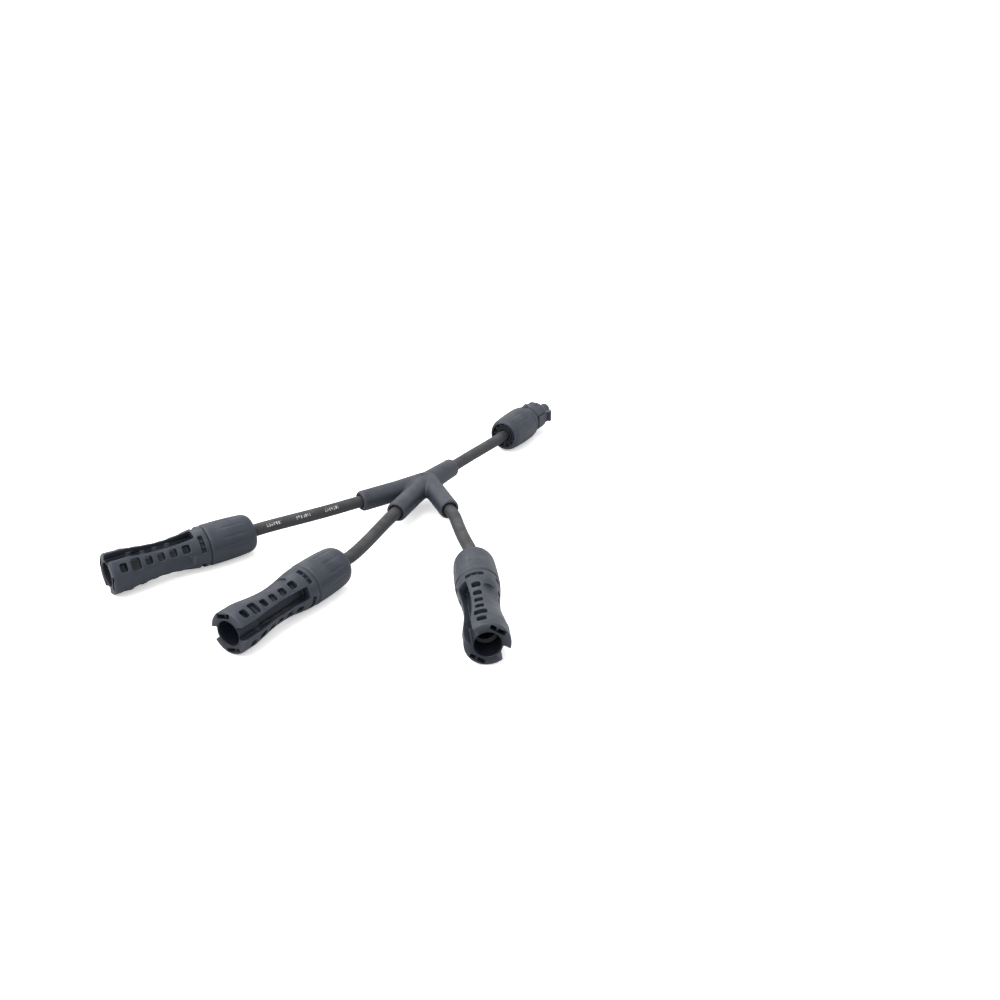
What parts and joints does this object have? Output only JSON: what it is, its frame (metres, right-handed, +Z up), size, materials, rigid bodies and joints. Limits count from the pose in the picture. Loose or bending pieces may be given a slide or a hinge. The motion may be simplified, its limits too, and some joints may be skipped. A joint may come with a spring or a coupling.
{
  "type": "solar cable connector",
  "caption": "Solar branch cable connector: cable legs with large round-mouth inlet couplers join in a moulded junction, and one leg carries an outlet coupler with probe and latches.",
  "frame": {"origin": "middle of the couplers and junction in X and Y, on the surface that they lie on", "axes": "+X from the inlet couplers towards the outlet coupler, +Z up"},
  "size_m": [0.2894, 0.188, 0.0197],
  "materials": {
    "moulded_plastic": "fine matt charcoal moulding",
    "cage_plastic": "matt",
    "cable_jacket": "matt cross-linked cable jacket",
    "seal_rubber": "matt",
    "tinned_contact": "tin plated, satin",
    "copper": "tinned copper strand"
  },
  "bodies": {
    "harness": {"junction_overmould": "moulded_plastic", "crimp_splice": "copper", "cable_jacket_1": "cable_jacket", "cable_jacket_2": "cable_jacket", "cable_jacket_3": "cable_jacket", "cable_jacket_4": "cable_jacket", "copper_core_1": "copper", "copper_core_2": "copper", "copper_core_3": "copper", "copper_core_4": "copper", "inlet_body_1": "moulded_plastic", "inlet_body_2": "moulded_plastic", "inlet_body_3": "moulded_plastic", "contact_pin_1": "tinned_contact", "contact_pin_2": "tinned_contact", "contact_pin_3": "tinned_contact", "cable_seal_1": "seal_rubber", "cable_seal_2": "seal_rubber", "cable_seal_3": "seal_rubber", "cable_seal_4": "seal_rubber", "outlet_body": "moulded_plastic", "contact_socket": "tinned_contact", "probe_o_ring": "seal_rubber"},
    "cage_1": {"clamp_cage_1": "cage_plastic"},
    "nut_1": {"gland_nut_1": "moulded_plastic"},
    "cage_2": {"clamp_cage_2": "cage_plastic"},
    "nut_2": {"gland_nut_2": "moulded_plastic"},
    "cage_3": {"clamp_cage_3": "cage_plastic"},
    "nut_3": {"gland_nut_3": "moulded_plastic"},
    "cage_4": {"clamp_cage_4": "cage_plastic"},
    "nut_4": {"gland_nut_4": "moulded_plastic"},
    "latch_left": {"latch_arm_left": "moulded_plastic"},
    "latch_right": {"latch_arm_right": "moulded_plastic"}
  },
  "joints": [
    {"name": "nut1_slide", "type": "slide", "parent": "harness", "child": "cage_1", "axis": [0.9239, -0.3827, 0], "range_m": [0, 0.006]},
    {"name": "nut1_turn", "type": "hinge", "parent": "cage_1", "child": "nut_1", "pos_m": [-0.08229, 0.06395, 0.00975], "axis": [0.9239, -0.3827, 0], "range_deg": [0, 1080]},
    {"name": "nut2_slide", "type": "slide", "parent": "harness", "child": "cage_2", "axis": [0.9995, -0.0332, 0], "range_m": [0, 0.006]},
    {"name": "nut2_turn", "type": "hinge", "parent": "cage_2", "child": "nut_2", "pos_m": [-0.08813, 0.00443, 0.00975], "axis": [0.9995, -0.0332, 0], "range_deg": [0, 1080]},
    {"name": "nut3_slide", "type": "slide", "parent": "harness", "child": "cage_3", "axis": [0.809, 0.5878, 0], "range_m": [0, 0.006]},
    {"name": "nut3_turn", "type": "hinge", "parent": "cage_3", "child": "nut_3", "pos_m": [-0.05445, -0.05361, 0.00975], "axis": [0.809, 0.5878, 0], "range_deg": [0, 1080]},
    {"name": "nut4_slide", "type": "slide", "parent": "harness", "child": "cage_4", "axis": [-1, -0.0087, 0], "range_m": [0, 0.006]},
    {"name": "nut4_turn", "type": "hinge", "parent": "cage_4", "child": "nut_4", "pos_m": [0.1042, 0.01715, 0.00975], "axis": [-1, -0.0087, 0], "range_deg": [0, 1080]},
    {"name": "latch_left_flex", "type": "hinge", "parent": "harness", "child": "latch_left", "pos_m": [0.12266, 0.01026, 0.00975], "axis": [0, 0, 1], "range_deg": [0, 5], "stiffness_Nm_per_rad": 0.05},
    {"name": "latch_right_flex", "type": "hinge", "parent": "harness", "child": "latch_right", "pos_m": [0.12254, 0.02436, 0.00975], "axis": [0, 0, -1], "range_deg": [0, 5], "stiffness_Nm_per_rad": 0.05}
  ],
  "couplings": [
    {"joint": "nut1_slide", "follows": "nut1_turn", "m_per_rad": 0.000318},
    {"joint": "nut2_slide", "follows": "nut2_turn", "m_per_rad": 0.000318},
    {"joint": "nut3_slide", "follows": "nut3_turn", "m_per_rad": 0.000318},
    {"joint": "nut4_slide", "follows": "nut4_turn", "m_per_rad": 0.000318}
  ]
}
